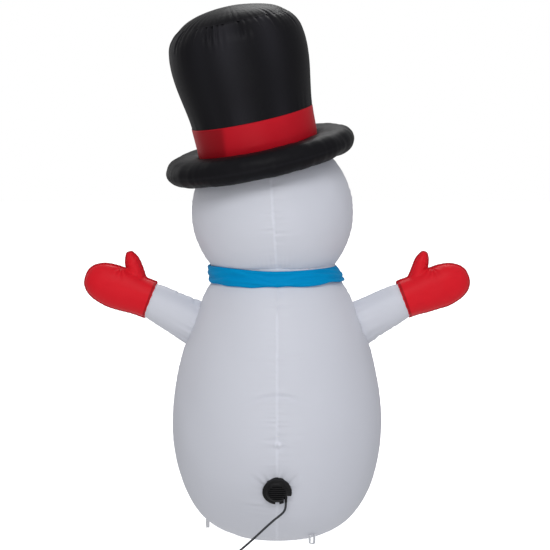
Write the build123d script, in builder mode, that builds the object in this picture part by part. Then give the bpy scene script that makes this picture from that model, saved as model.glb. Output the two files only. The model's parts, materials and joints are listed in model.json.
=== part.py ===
from build123d import *
import os
from math import asin, cos, degrees, radians, sin, sqrt, tan

# Inflatable yard snowman, 4 ft class. Millimetres, +Z up, origin at the centre of the base on the
# lawn. The face looks along -Y, the blower is low on the back (+Y) and the snowman's left is +X.

os.makedirs("parts", exist_ok=True)

# ------------------------------------------------ driving dimensions
skin = 1.2  # coated polyester with its seam allowance
inner_steps = 16  # points that the inner face of a skin is drawn through
gap = 0.3  # clearance between neighbouring pieces that only touch

base_radius = 113
body_top = 592
neck_radius = 146
body_outline = [
    (base_radius, 0),
    (172, 36),
    (221, 120),
    (243, 285),
    (225, 400),
    (186, 520),
    (neck_radius, body_top),
]

head_radius = 187
head_offset = 11  # the head sits a little towards the snowman's left
head_height = 744
head_bottom = 625
head_centre = Vector(head_offset, 0, head_height)

hat_lean_side = 11.9  # degrees towards +X
hat_lean_back = 6.3  # degrees towards +Y
head_cut = 108  # along the hat axis from the head's centre, where head fabric meets the brim
brim_radius = 220
brim_level = 132
crown_level = 152
band_height = 66
crown_height = 243
crown_rise = 327  # crown base to the middle of the domed top
crown_radius = 136
crown_top_radius = 155

shoulder = (195.5, 489)  # X and Z of the left shoulder
arm_lift = 28.4
arm_radius = 52
cuff_radius = 42
arm_length = 113.6
sleeve_start = 24  # along the arm, where the free sleeve begins
hand_lift = 20
hand_length = 155

scarf_bottom = 586
scarf_top = 620
scarf_thickness = 2.4
tail_length = 205
tail_width = 44
tail_spread = 12  # degrees each side of the front

blower_point = Vector(0, 235, 143)
blower_tilt = 22  # the intake looks down by this much
cover_radius = 32.5
skirt_radius = 29
throat_radius = 25.8
housing_radius = 44
impeller_radius = 36
blade_count = 11
shaft_radius = 2

cord_diameter = 5
relief_length = 13
coil_radius = 29  # middle of the turns
coil_band = 15  # three wires wide and three high
coil_lift = 1.2  # the tie passes under the coil
coil_centre = Vector(120, 300, 0)

scarf_bottom_radius = 153
scarf_top_radius = 148.8
knot_width = 60
knot_depth = 22
knot_height = 30

loop_radius = 159  # from the middle of the base to the loop's inner edge
loop_width = 12
loop_band = 8  # width of the webbing
loop_top = 23
loop_bottom = 2
webbing = 1.4

grille_radius = 20
grille_pitch = 5.4
grille_slot = 2.4
tie_height = 17.4
adaptor_size = (62, 42, 27)
prong_length = 17

strap_height = 268
lamp_spots = (70, -70)  # along the strap
strap_size = (10, 1.2)
socket_size = (9, 26)  # radius and length
globe_radius = 20
cable_radius = 1.5

eye_radius = 13
mouth_radius = 8
mouth_step = 9.5  # degrees from one mouth piece to the next
nose_radius = 17
nose_length = 105
button_radius = 17
button_heights = (250, 330, 410)
print_depth = 2.4  # padded prints stand this proud
tool_reach = 60  # half the length of a cutting cylinder


# ------------------------------------------------ reference planes and helpers
def radial_plane(angle, origin=(0, 0, 0)):
    """Upright plane through a vertical axis, with its x pointing out at this angle."""
    out = (cos(radians(angle)), sin(radians(angle)), 0)
    return Plane(origin=origin, x_dir=out, z_dir=(out[1], -out[0], 0))


def skin_section(outline, closed_at_axis=False):
    """Thin section of a fabric skin: a smooth outline, its twin one skin inside, and the ends."""
    outer = Spline(*outline)
    inner_points = []
    for step in range(inner_steps + 1):
        along = outer % (step / inner_steps)
        inner_points.append(outer @ (step / inner_steps) + Vector(-along.Y, along.X) * skin)
    if closed_at_axis:
        inner_points[-1] = Vector(0, inner_points[-1].Y)
    inner = Spline(*inner_points)
    Line(outer @ 0, inner @ 0)
    Line(outer @ 1, inner @ 1)


def body_radius_at(height):
    """Outer radius of the body at one height, read off its outline."""
    outline = Spline(*body_outline)
    level = Line((0, height), (2 * body_outline[3][0], height))
    return outline.intersect(level).vertices()[0].X


def body_normal_at(height):
    """Outward direction of the body's front face at one height."""
    step = 5
    slope = (body_radius_at(height + step) - body_radius_at(height - step)) / (2 * step)
    return Vector(0, -1, -slope).normalized()


hat_axis = Vector(tan(radians(hat_lean_side)), tan(radians(hat_lean_back)), 1).normalized()
hat_plane = Plane(origin=head_centre, z_dir=hat_axis)
hat_section = Plane(origin=head_centre, x_dir=hat_plane.x_dir, z_dir=-hat_plane.y_dir)
hat_spin = Axis(head_centre, hat_axis)

blower_out = Vector(0, cos(radians(blower_tilt)), -sin(radians(blower_tilt)))
blower = Plane(origin=blower_point, x_dir=(-1, 0, 0), z_dir=blower_out)


blower_section = Plane(origin=blower_point, x_dir=(-1, 0, 0), z_dir=-blower.y_dir)


def tether_plane(azimuth):
    """Upright plane facing out, at the inner edge of a tether loop."""
    out = Vector(cos(radians(azimuth)), sin(radians(azimuth)), 0)
    return Plane(origin=out * loop_radius, x_dir=(-out.Y, out.X, 0), z_dir=out)


def arm_plane(side, along=0):
    """Plane across the arm on one side (+1 left, -1 right), at a distance from the shoulder."""
    out = Vector(side * cos(radians(arm_lift)), 0, sin(radians(arm_lift)))
    start = Vector(side * shoulder[0], 0, shoulder[1])
    return Plane(origin=start + out * along, x_dir=(0, 1, 0), z_dir=out)


def hand_plane(side, along):
    """Plane across the mitten, at a distance from the cuff."""
    out = Vector(side * cos(radians(hand_lift)), 0, sin(radians(hand_lift)))
    cuff = arm_plane(side, arm_length).origin
    return Plane(origin=cuff + out * along, x_dir=(0, 1, 0), z_dir=out)


def sleeve_radius(along):
    """The sleeve tapers evenly from the shoulder to the cuff."""
    return arm_radius + (cuff_radius - arm_radius) * along / arm_length


def face_plane(azimuth, elevation):
    """Plane just clear of the head, facing out at these angles."""
    out = Vector(1, 0, 0).rotate(Axis.Y, -elevation).rotate(Axis.Z, azimuth)
    return Plane(origin=head_centre + out * (head_radius + gap), z_dir=out)


# ------------------------------------------------ body: four gores and a floor panel
for name, start in {
    "body_panel_back_left": 0,
    "body_panel_back_right": 90,
    "body_panel_front_right": 180,
    "body_panel_front_left": 270,
}.items():
    with BuildPart() as panel:
        with BuildSketch(radial_plane(start)):
            with BuildLine():
                skin_section(body_outline)
            make_face()
        revolve(axis=Axis.Z, revolution_arc=90)
        for side in (1, -1):
            with Locations(arm_plane(side)):
                Cylinder(arm_radius + gap, 2 * tool_reach, mode=Mode.SUBTRACT)
        with Locations(blower):
            Cylinder(housing_radius + 2, tool_reach, mode=Mode.SUBTRACT)
    panel.part.label = name
    export_step(panel.part, f"parts/{name}.step")

with BuildPart() as base_panel:
    Cylinder(base_radius - skin - gap, skin, align=(Align.CENTER, Align.CENTER, Align.MIN))
base_panel.part.label = "base_panel"
export_step(base_panel.part, "parts/base_panel.step")

with BuildPart() as neck_sleeve:  # the stretch of fabric that flexes when the head sways
    for inset, mode in ((0, Mode.ADD), (skin, Mode.SUBTRACT)):
        with BuildSketch(Plane.XY.offset(body_top)):
            Circle(neck_radius - inset)
        with BuildSketch(Plane(origin=(head_offset, 0, head_bottom))):
            Circle(sqrt(head_radius**2 - (head_height - head_bottom) ** 2) - inset)
        loft(mode=mode)
neck_sleeve.part.label = "neck_sleeve"
export_step(neck_sleeve.part, "parts/neck_sleeve.step")


# ------------------------------------------------ head: four gores, cut off under the hat brim
head_low = degrees(asin((head_bottom - head_height) / head_radius))

for name, start in {
    "head_panel_back_left": 0,
    "head_panel_back_right": 90,
    "head_panel_front_right": 180,
    "head_panel_front_left": 270,
}.items():
    with BuildPart() as panel:
        with BuildSketch(radial_plane(start, head_centre)):
            with BuildLine():
                outer = CenterArc((0, 0), head_radius, head_low, 90 - head_low)
                inner = CenterArc((0, 0), head_radius - skin, head_low, 90 - head_low)
                Line(outer @ 0, inner @ 0)
                Line(outer @ 1, inner @ 1)
            make_face()
        revolve(axis=Axis(head_centre, (0, 0, 1)), revolution_arc=90)
        split(bisect_by=hat_plane.offset(head_cut - skin - gap), keep=Keep.BOTTOM)
    panel.part.label = name
    export_step(panel.part, f"parts/{name}.step")

with BuildPart() as eyes:
    for azimuth in (-108, -72):
        with Locations(face_plane(azimuth, 14)):
            Cylinder(eye_radius, print_depth, align=(Align.CENTER, Align.CENTER, Align.MIN))
    fillet(eyes.faces().filter_by(GeomType.PLANE).edges().group_by(SortBy.LENGTH)[-1], 0.6)
eyes.part.label = "eyes"
export_step(eyes.part, "parts/eyes.step")

with BuildPart() as carrot_nose:
    with BuildSketch(face_plane(-90, -3)):
        Circle(nose_radius)
    with BuildSketch(face_plane(-90, -3).offset(0.55 * nose_length)):
        Circle(0.68 * nose_radius)
    with BuildSketch(face_plane(-90, -3).offset(nose_length)):
        Circle(0.28 * nose_radius)
    loft()
    fillet(carrot_nose.faces().sort_by(Axis.Y)[0].edges(), 0.2 * nose_radius)
carrot_nose.part.label = "carrot_nose"
export_step(carrot_nose.part, "parts/carrot_nose.step")

with BuildPart() as mouth_pieces:
    for step in range(-2, 3):
        with Locations(face_plane(-90 + mouth_step * step, -24 + 2 * step**2)):
            Cylinder(mouth_radius, print_depth, align=(Align.CENTER, Align.CENTER, Align.MIN))
mouth_pieces.part.label = "mouth_pieces"
export_step(mouth_pieces.part, "parts/mouth_pieces.step")

# ------------------------------------------------ hat: brim, band, crown and domed top
brim_lower_outline = [
    (150, head_cut),
    (175, brim_level - 27),
    (205, brim_level - 20),
    (brim_radius, brim_level),
]
brim_upper_outline = [
    (brim_radius, brim_level),
    (206, brim_level + 26),
    (176, brim_level + 33),
    (crown_radius, crown_level),
]
band_outline = [
    (crown_radius, crown_level),
    (crown_radius + 0.8, crown_level + 0.5 * band_height),
    (crown_radius + 2.2, crown_level + band_height),
]
crown_outline = [
    (crown_radius + 2.2, crown_level + band_height),
    (144.5, crown_level + 115),
    (154, crown_level + 172),
    (157, crown_level + 211),
    (crown_top_radius, crown_level + crown_height),
]
crown_dome_outline = [
    (crown_top_radius, crown_level + crown_height),
    (144, crown_level + 274),
    (123, crown_level + 295),
    (62, crown_level + 320),
    (0, crown_level + crown_rise),
]

for name, outline, keep in (
    ("hat_brim_lower", brim_lower_outline, Keep.BOTTOM),
    ("hat_brim_upper", brim_upper_outline, Keep.TOP),
    ("hat_band", band_outline, None),
    ("hat_crown_wall", crown_outline, None),
    ("hat_top_panel", crown_dome_outline, None),
):
    with BuildPart() as panel:
        with BuildSketch(hat_section):
            with BuildLine():
                skin_section(outline, closed_at_axis=outline[-1][0] == 0)
            make_face()
        revolve(axis=hat_spin)
        if keep:
            split(bisect_by=hat_plane.offset(brim_level), keep=keep)
    panel.part.label = name
    export_step(panel.part, f"parts/{name}.step")

# ------------------------------------------------ arms and mittens
palm = [  # along the hand, half width and half thickness
    (0, cuff_radius, 40),
    (18, 43, 39),
    (60, 47, 37),
    (105, 46, 35),
    (140, 34, 25),
    (154, 18, 12),
    (hand_length, 6, 4),
]
thumb_from = Vector(321, 0, 582.5)  # inside the palm, under the thumb's base
thumb_tip = Vector(341, 0, 651)
thumb = [(0, 20, 18), (0.45, 17, 16), (0.8, 14, 13), (1, 7, 6)]  # share of the length, half sizes

for side, hand in ((1, "left"), (-1, "right")):
    with BuildPart() as shoulder_sleeve:  # stays in the gore's hole and flexes when the arm sways
        for inset, mode in ((0, Mode.ADD), (skin, Mode.SUBTRACT)):
            with BuildSketch(arm_plane(side, -14)):
                Circle(arm_radius - inset)
            with BuildSketch(arm_plane(side, sleeve_start - gap)):
                Circle(sleeve_radius(sleeve_start) - inset)
            loft(mode=mode)
    shoulder_sleeve.part.label = f"shoulder_sleeve_{hand}"
    export_step(shoulder_sleeve.part, f"parts/shoulder_sleeve_{hand}.step")

    with BuildPart() as arm_sleeve:
        for inset, mode in ((0, Mode.ADD), (skin, Mode.SUBTRACT)):
            with BuildSketch(arm_plane(side, sleeve_start)):
                Circle(sleeve_radius(sleeve_start) - inset)
            with BuildSketch(arm_plane(side, arm_length - gap)):
                Circle(cuff_radius - inset)
            loft(mode=mode)
        split(bisect_by=hand_plane(side, -gap), keep=Keep.BOTTOM)
    arm_sleeve.part.label = f"arm_sleeve_{hand}"
    export_step(arm_sleeve.part, f"parts/arm_sleeve_{hand}.step")

    for half, keep in (("front", Keep.TOP), ("back", Keep.BOTTOM)):
        with BuildPart() as mitten:
            root = Vector(side * thumb_from.X, 0, thumb_from.Z)
            tip = Vector(side * thumb_tip.X, 0, thumb_tip.Z)
            thumb_axis = (tip - root).normalized()
            for inset, mode in ((0, Mode.ADD), (skin, Mode.SUBTRACT)):
                for along, width, depth in palm:
                    with BuildSketch(hand_plane(side, along - inset * (along == hand_length))):
                        Ellipse(depth - inset, width - inset)
                loft(mode=mode)
            for inset, mode in ((0, Mode.ADD), (skin, Mode.SUBTRACT)):
                for share, width, depth in thumb:
                    spot = root + (tip - root) * share - thumb_axis * inset * (share == 1)
                    with BuildSketch(Plane(origin=spot, x_dir=(0, 1, 0), z_dir=thumb_axis)):
                        Ellipse(depth - inset, width - inset)
                loft(mode=mode)
            split(bisect_by=Plane.XZ, keep=keep)
        mitten.part.label = f"mitten_{hand}_{half}"
        export_step(mitten.part, f"parts/mitten_{hand}_{half}.step")

# ------------------------------------------------ scarf: band, knot and two hanging tails
with BuildPart() as scarf_band:
    for inset, mode in ((0, Mode.ADD), (scarf_thickness, Mode.SUBTRACT)):
        with BuildSketch(Plane.XY.offset(scarf_bottom)):
            Circle(scarf_bottom_radius - inset)
        with BuildSketch(Plane(origin=(0.9 * head_offset, 0, scarf_top))):
            Circle(scarf_top_radius - inset)
        loft(mode=mode)
scarf_band.part.label = "scarf_band"
export_step(scarf_band.part, "parts/scarf_band.step")

with BuildPart() as scarf_knot:
    with Locations((4, -scarf_bottom_radius - 1 - 0.5 * knot_depth, 0.5 * (scarf_bottom + scarf_top))):
        Box(knot_width, knot_depth, knot_height)
    fillet(scarf_knot.edges(), 0.4 * knot_depth)
scarf_knot.part.label = "scarf_knot"
export_step(scarf_knot.part, "parts/scarf_knot.step")

tail_clearance = 5
tail_outline = [  # down the front, just clear of the body
    (162, body_top - 9),
    (body_radius_at(545) + tail_clearance + 2, 545),
    (body_radius_at(470) + tail_clearance, 470),
    (body_radius_at(body_top - tail_length) + tail_clearance + 3, body_top - tail_length),
]
for name, azimuth in (
    ("scarf_tail_left", -90 + tail_spread),
    ("scarf_tail_right", -90 - tail_spread),
):
    with BuildPart() as tail:
        with BuildSketch(radial_plane(azimuth)):
            with BuildLine():
                inner = Spline(*tail_outline)
                outer = Spline(*[(x + scarf_thickness, z + 0.4) for x, z in tail_outline])
                Line(inner @ 0, outer @ 0)
                Line(inner @ 1, outer @ 1)
            make_face()
        extrude(amount=0.5 * tail_width, both=True)
    tail.part.label = name
    export_step(tail.part, f"parts/{name}.step")

# ------------------------------------------------ coat buttons on the front
with BuildPart() as front_buttons:
    for height in button_heights:
        out = body_normal_at(height)
        spot = Vector(0, -body_radius_at(height), height) + out * gap
        with Locations(Plane(origin=spot, z_dir=out)):
            Cylinder(button_radius, print_depth, align=(Align.CENTER, Align.CENTER, Align.MIN))
front_buttons.part.label = "front_buttons"
export_step(front_buttons.part, "parts/front_buttons.step")

# ------------------------------------------------ tether loops, hanging under the body
for name, azimuth in (
    ("tether_loop_back", 119),
    ("tether_loop_right", 239),
    ("tether_loop_left", 359),
):
    with BuildPart() as loop:
        with BuildSketch(tether_plane(azimuth)):
            with BuildLine():
                FilletPolyline(
                    (-0.5 * loop_width, loop_top),
                    (-0.5 * loop_width, loop_bottom),
                    (0.5 * loop_width, loop_bottom),
                    (0.5 * loop_width, loop_top),
                    radius=0.35 * loop_width,
                )
            trace(line_width=webbing)
        extrude(amount=loop_band)
    loop.part.label = name
    export_step(loop.part, f"parts/{name}.step")

# ------------------------------------------------ blower: intake cover and filter outside
notch_spots = (((25, -22), (20.4, 24.4)), ((0.5, -31), (9, 9)))  # the cord's notch and the tab's notch
dome = [(0, 5.2), (12, 4.7), (23, 3.2), (25, 1.5)]
with BuildPart() as blower_cover:
    with BuildSketch(blower.offset(-2)):
        Circle(cover_radius)
    extrude(amount=3.5)
    fillet(blower_cover.edges().sort_by(Axis(blower_point, blower_out))[-1], 1)
    with BuildSketch(blower.offset(-14)):
        Circle(skirt_radius)
        Circle(throat_radius + 0.4, mode=Mode.SUBTRACT)
    extrude(amount=12)
    for lowered, mode in ((0, Mode.ADD), (2, Mode.SUBTRACT)):
        with BuildSketch(blower_section):
            with BuildLine():
                Spline(*[(radius, height - lowered) for radius, height in dome])
                Polyline((25, 1.5 - lowered), (25, -2), (0, -2), (0, dome[0][1] - lowered))
            make_face()
        revolve(axis=Axis(blower_point, blower_out), mode=mode)
    with BuildSketch(blower):
        for row in range(-3, 4):
            with Locations((0, grille_pitch * row)):
                reach = sqrt(grille_radius**2 - (grille_pitch * row) ** 2)
                SlotOverall(2 * reach, grille_slot)
    extrude(amount=10, both=True, mode=Mode.SUBTRACT)
    with BuildSketch(blower):
        for spot, notch in notch_spots:
            with Locations(spot):
                Rectangle(*notch)
    extrude(amount=16, both=True, mode=Mode.SUBTRACT)
blower_cover.part.label = "blower_cover"
export_step(blower_cover.part, "parts/blower_cover.step")

with BuildPart() as intake_filter:
    with BuildSketch(blower.offset(-9)):
        Circle(throat_radius - 2.6)
        with Locations(notch_spots[0][0]):
            Rectangle(21, 34, mode=Mode.SUBTRACT)
    extrude(amount=5)
intake_filter.part.label = "intake_filter"
export_step(intake_filter.part, "parts/intake_filter.step")

with BuildPart() as blower_collar:  # the reinforced patch of the body that the blower is clamped to
    with BuildSketch(radial_plane(70)):
        with BuildLine():
            skin_section(body_outline)
        make_face()
    revolve(axis=Axis.Z, revolution_arc=40)
    with Locations(blower):
        Cylinder(housing_radius + 2 - gap, tool_reach, mode=Mode.INTERSECT)
        Cylinder(skirt_radius + 1.5, tool_reach, mode=Mode.SUBTRACT)
blower_collar.part.label = "blower_collar"
export_step(blower_collar.part, "parts/blower_collar.step")

# ------------------------------------------------ blower: housing, motor and impeller inside
with BuildPart() as clamp_ring:
    with BuildSketch(blower.offset(-23)):
        Circle(36)
        Circle(throat_radius + gap, mode=Mode.SUBTRACT)
    extrude(amount=4)
clamp_ring.part.label = "clamp_ring"
export_step(clamp_ring.part, "parts/clamp_ring.step")

wall_front = -28
wall_back = -58
with BuildPart() as blower_housing:
    with BuildSketch(blower.offset(wall_back)):
        Circle(housing_radius)
        with Locations((25, 32)):
            Rectangle(30, 64)
    extrude(amount=wall_front + 2 - wall_back)
    with BuildSketch(blower.offset(wall_back)):
        Circle(housing_radius - 3)
    extrude(amount=wall_front - wall_back, mode=Mode.SUBTRACT)
    with BuildSketch(blower.offset(wall_back + 4)):
        with Locations((25, 34)):
            Rectangle(24, 64)
    extrude(amount=wall_front - wall_back - 6, mode=Mode.SUBTRACT)
    with BuildSketch(blower.offset(wall_front)):
        Circle(throat_radius)
    extrude(amount=-12 - wall_front)
    with BuildSketch(blower.offset(wall_front - 1)):
        Circle(throat_radius - 2)
    extrude(amount=20, mode=Mode.SUBTRACT)
    with BuildSketch(blower.offset(wall_back)):
        with PolarLocations(housing_radius - 1.5, 4, start_angle=225):
            Circle(1.1)
    extrude(amount=10, mode=Mode.SUBTRACT)
blower_housing.part.label = "blower_housing"
export_step(blower_housing.part, "parts/blower_housing.step")

with BuildPart() as blower_back_plate:
    with BuildSketch(blower.offset(wall_back - 2)):
        Circle(housing_radius)
        Circle(6, mode=Mode.SUBTRACT)
        with PolarLocations(housing_radius - 1.5, 4, start_angle=225):
            Circle(1.1, mode=Mode.SUBTRACT)
    extrude(amount=2)
blower_back_plate.part.label = "blower_back_plate"
export_step(blower_back_plate.part, "parts/blower_back_plate.step")

with BuildPart() as back_plate_screws:
    plate_face = blower.offset(wall_back - 2)
    with Locations(plate_face), PolarLocations(housing_radius - 1.5, 4, start_angle=225):
        Cylinder(1, 10, align=(Align.CENTER, Align.CENTER, Align.MIN))
        Cylinder(2.2, 1.6, align=(Align.CENTER, Align.CENTER, Align.MAX))
back_plate_screws.part.label = "back_plate_screws"
export_step(back_plate_screws.part, "parts/back_plate_screws.step")

with BuildPart() as shaft_bearing:
    with BuildSketch(blower.offset(wall_back - 2)):
        Circle(5.9)
        Circle(shaft_radius + 0.04, mode=Mode.SUBTRACT)
    extrude(amount=3)
shaft_bearing.part.label = "shaft_bearing"
export_step(shaft_bearing.part, "parts/shaft_bearing.step")

with BuildPart() as motor_can:
    with BuildSketch(blower.offset(wall_back - 26)):
        Circle(17)
    extrude(amount=23.6)
    fillet(motor_can.edges(), 1.5)
    with BuildSketch(blower.offset(wall_back - 23)):
        Circle(shaft_radius + 0.3)
    extrude(amount=24, mode=Mode.SUBTRACT)
motor_can.part.label = "motor_can"
export_step(motor_can.part, "parts/motor_can.step")

with BuildPart() as motor_shaft:
    with BuildSketch(blower.offset(wall_back - 22)):
        Circle(shaft_radius)
    extrude(amount=44)
motor_shaft.part.label = "motor_shaft"
export_step(motor_shaft.part, "parts/motor_shaft.step")

with BuildPart() as impeller:
    with BuildSketch(blower.offset(wall_back + 2)):
        Circle(impeller_radius)
    extrude(amount=1.6)
    with BuildSketch(blower.offset(wall_back + 2)):
        Circle(6)
    extrude(amount=16)
    with BuildSketch(blower.offset(wall_back + 3)):
        with PolarLocations(0.76 * impeller_radius, blade_count):
            Rectangle(0.42 * impeller_radius, 1.6, rotation=28)
    extrude(amount=20)
    with BuildSketch(blower.offset(wall_back)):
        Circle(shaft_radius + 0.02)
    extrude(amount=30, mode=Mode.SUBTRACT)
impeller.part.label = "impeller"
export_step(impeller.part, "parts/impeller.step")

# ------------------------------------------------ low-voltage lead, its coil and adaptor
floor_line = 0.5 * cord_diameter  # height of the lead's middle where it lies on the lawn
entry_reach = Vector(coil_radius + cord_diameter, 0, coil_lift + floor_line)
coil_entry = coil_centre + entry_reach.rotate(Axis.Z, -60)
cord_route = [  # from the strain relief down to the lawn and into the coil
    Vector(-19.3, 230, 119),
    Vector(-19.2, 230.6, 108.5),
    Vector(-15.7, 231.3, 98.8),
    Vector(-8.5, 232.4, 91.5),
    Vector(6.5, 234.2, 80.5),
    Vector(26, 237.2, 63.5),
    Vector(48, 241, 43.5),
    Vector(70, 245.2, 24.5),
    Vector(90.3, 250.2, 9),
    Vector(110, 256.4, floor_line),
    Vector(125.3, 263.9, floor_line),
    coil_entry,
]


def bend_radii(route):
    """The largest tangent arcs that neighbouring runs leave room for, one at each inner point."""
    radii = []
    for before, corner, after in zip(route, route[1:], route[2:]):
        run_in, run_out = corner - before, after - corner
        half_turn = radians(run_in.get_angle(run_out)) / 2
        radii.append(0.45 * min(run_in.length, run_out.length) / tan(half_turn))
    return radii


cord_radii = bend_radii(cord_route)
print("cord bend radii", [round(radius, 1) for radius in cord_radii])

with BuildPart() as cord_strain_relief:
    relief_axis = (cord_route[1] - cord_route[0]).normalized()
    with BuildSketch(Plane(origin=cord_route[0] - relief_axis * relief_length, z_dir=relief_axis)):
        Circle(3.2)
    with BuildSketch(Plane(origin=cord_route[0], z_dir=relief_axis)):
        Circle(0.5 * cord_diameter + 0.4)
    loft()
cord_strain_relief.part.label = "cord_strain_relief"
export_step(cord_strain_relief.part, "parts/cord_strain_relief.step")

with BuildPart() as power_cord:
    with BuildLine() as cord_path:
        FilletPolyline(*cord_route, radius=cord_radii)
    with BuildSketch(Plane(origin=cord_path.line @ 0, z_dir=cord_path.line % 0)):
        Circle(0.5 * cord_diameter)
    sweep()
power_cord.part.label = "power_cord"
export_step(power_cord.part, "parts/power_cord.step")
tube_length = cord_path.wire().length
tube_section = power_cord.part.volume / tube_length
print("cord tube", round(tube_length, 1), "long, section", round(tube_section, 2))

with BuildPart() as cord_coil:
    with BuildSketch(Plane(origin=coil_centre + Vector(0, 0, coil_lift))):
        Circle(coil_radius + 0.5 * coil_band)
        Circle(coil_radius - 0.5 * coil_band, mode=Mode.SUBTRACT)
    extrude(amount=coil_band)
    fillet(cord_coil.edges(), 0.4 * cord_diameter)
cord_coil.part.label = "cord_coil"
export_step(cord_coil.part, "parts/cord_coil.step")

tie_angle = 205
with BuildPart() as coil_tie:
    tie_out = Vector(1, 0, 0).rotate(Axis.Z, tie_angle)
    tie_plane = Plane(
        origin=coil_centre + tie_out * coil_radius + Vector(0, 0, 0.5 * tie_height),
        x_dir=tie_out,
        z_dir=tie_out.rotate(Axis.Z, 90),
    )
    with BuildSketch(tie_plane):
        RectangleRounded(tie_height + 1, tie_height, 3)
        RectangleRounded(tie_height - 1.2, tie_height - 2.2, 2, mode=Mode.SUBTRACT)
    extrude(amount=3, both=True)
coil_tie.part.label = "coil_tie"
export_step(coil_tie.part, "parts/coil_tie.step")

tail_height = coil_lift + 1.5 * cord_diameter
boot_length = 20
adaptor_mouth = coil_centre + Vector(-20, coil_radius + cord_diameter, tail_height)
with BuildPart() as cord_tail:
    with BuildSketch(Plane(origin=adaptor_mouth, z_dir=(1, 0, 0))):
        Circle(0.5 * cord_diameter)
    extrude(amount=12)
cord_tail.part.label = "cord_tail"
export_step(cord_tail.part, "parts/cord_tail.step")

with BuildPart() as adaptor_boot:
    with BuildSketch(Plane(origin=adaptor_mouth, z_dir=(-1, 0, 0))):
        Circle(0.5 * cord_diameter + 0.6)
    with BuildSketch(Plane(origin=adaptor_mouth - Vector(boot_length, 0, 0), z_dir=(-1, 0, 0))):
        Circle(6)
    loft()
adaptor_boot.part.label = "adaptor_boot"
export_step(adaptor_boot.part, "parts/adaptor_boot.step")

adaptor_drop = tail_height - 0.5 * adaptor_size[2]
adaptor_centre = adaptor_mouth - Vector(boot_length + 0.5 * adaptor_size[0], 0, adaptor_drop)
with BuildPart() as power_adaptor:
    with Locations(adaptor_centre):
        Box(*adaptor_size)
    fillet(power_adaptor.edges().filter_by(Axis.X), 4)
    fillet(power_adaptor.faces().filter_by(Axis.X).edges(), 2)
power_adaptor.part.label = "power_adaptor"
export_step(power_adaptor.part, "parts/power_adaptor.step")

with BuildPart() as adaptor_prongs:
    with Locations(adaptor_centre - Vector(0.5 * adaptor_size[0] + 0.5 * prong_length, 0, 0)):
        with GridLocations(1, 12.7, 1, 2):
            Box(prong_length, 1.5, 6.35)
adaptor_prongs.part.label = "adaptor_prongs"
export_step(adaptor_prongs.part, "parts/adaptor_prongs.step")

# ------------------------------------------------ lamps inside the body, on a sewn strap
with BuildPart() as light_strap:
    with Locations((0, 0, strap_height)):
        Box(strap_size[0], 2 * (body_radius_at(strap_height) - skin - 1), strap_size[1])
light_strap.part.label = "light_strap"
export_step(light_strap.part, "parts/light_strap.step")

socket_top = strap_height - 0.5 * strap_size[1] - gap
with BuildPart() as lamp_sockets:
    for along in lamp_spots:
        with Locations((0, along, socket_top)):
            Cylinder(*socket_size, align=(Align.CENTER, Align.CENTER, Align.MAX))
lamp_sockets.part.label = "lamp_sockets"
export_step(lamp_sockets.part, "parts/lamp_sockets.step")

with BuildPart() as lamp_globes:
    for along in lamp_spots:
        with Locations((0, along, socket_top - socket_size[1] - gap - globe_radius)):
            Sphere(globe_radius)
lamp_globes.part.label = "lamp_globes"
export_step(lamp_globes.part, "parts/lamp_globes.step")

with BuildPart() as light_cable:  # from the motor up to the strap, past both sockets
    cable_route = [
        blower_point - blower_out * 90 + Vector(-12, 0, 0),
        Vector(-16, 120, 190),
        Vector(-13, 105, 225),
        Vector(-11, 85, 250),
        Vector(-11.2, 40, 262),
        Vector(-11, -10, 263),
        Vector(-11.2, -60, 258),
    ]
    with BuildLine() as cable_path:
        FilletPolyline(*cable_route, radius=bend_radii(cable_route))
    with BuildSketch(Plane(origin=cable_path.line @ 0, z_dir=cable_path.line % 0)):
        Circle(cable_radius)
    sweep()
light_cable.part.label = "light_cable"
export_step(light_cable.part, "parts/light_cable.step")
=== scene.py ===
import json
from math import cos, pi, radians, sin, sqrt, tau
from random import Random

import bmesh
import bpy
import numpy as np
from mathutils import Matrix, Vector


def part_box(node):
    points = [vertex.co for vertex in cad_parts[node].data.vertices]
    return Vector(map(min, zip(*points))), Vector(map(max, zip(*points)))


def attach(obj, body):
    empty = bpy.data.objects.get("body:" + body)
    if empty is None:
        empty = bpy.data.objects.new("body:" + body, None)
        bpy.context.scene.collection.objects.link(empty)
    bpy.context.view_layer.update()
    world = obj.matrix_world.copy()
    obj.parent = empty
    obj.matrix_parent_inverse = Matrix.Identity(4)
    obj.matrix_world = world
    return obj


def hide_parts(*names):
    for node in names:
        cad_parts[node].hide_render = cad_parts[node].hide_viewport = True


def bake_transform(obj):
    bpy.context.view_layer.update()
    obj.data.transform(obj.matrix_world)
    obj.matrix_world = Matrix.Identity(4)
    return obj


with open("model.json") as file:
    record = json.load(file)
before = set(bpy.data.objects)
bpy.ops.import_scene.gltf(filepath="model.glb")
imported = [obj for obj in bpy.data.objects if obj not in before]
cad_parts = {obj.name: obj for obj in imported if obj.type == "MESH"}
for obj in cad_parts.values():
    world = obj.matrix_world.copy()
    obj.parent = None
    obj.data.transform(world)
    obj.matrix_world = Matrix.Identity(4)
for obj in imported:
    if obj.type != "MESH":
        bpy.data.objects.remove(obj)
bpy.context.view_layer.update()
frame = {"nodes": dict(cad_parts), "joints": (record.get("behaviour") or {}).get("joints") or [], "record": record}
joints = {joint["name"]: joint for joint in frame["joints"]}
print("frame loaded")

# what the sewn pieces share, in metres
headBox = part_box("head_panel_back_left")
headMiddle = Vector((headBox[0].x, 0, 0.744))  # gores meet on the head's own axis
headRadius = headBox[1].x - headMiddle.x
hatLean = Vector((0.2107, 0.1104, 1)).normalized()  # the hat tips to its left and a little back
goreSeams = (0, pi / 2, pi, 1.5 * pi)


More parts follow.
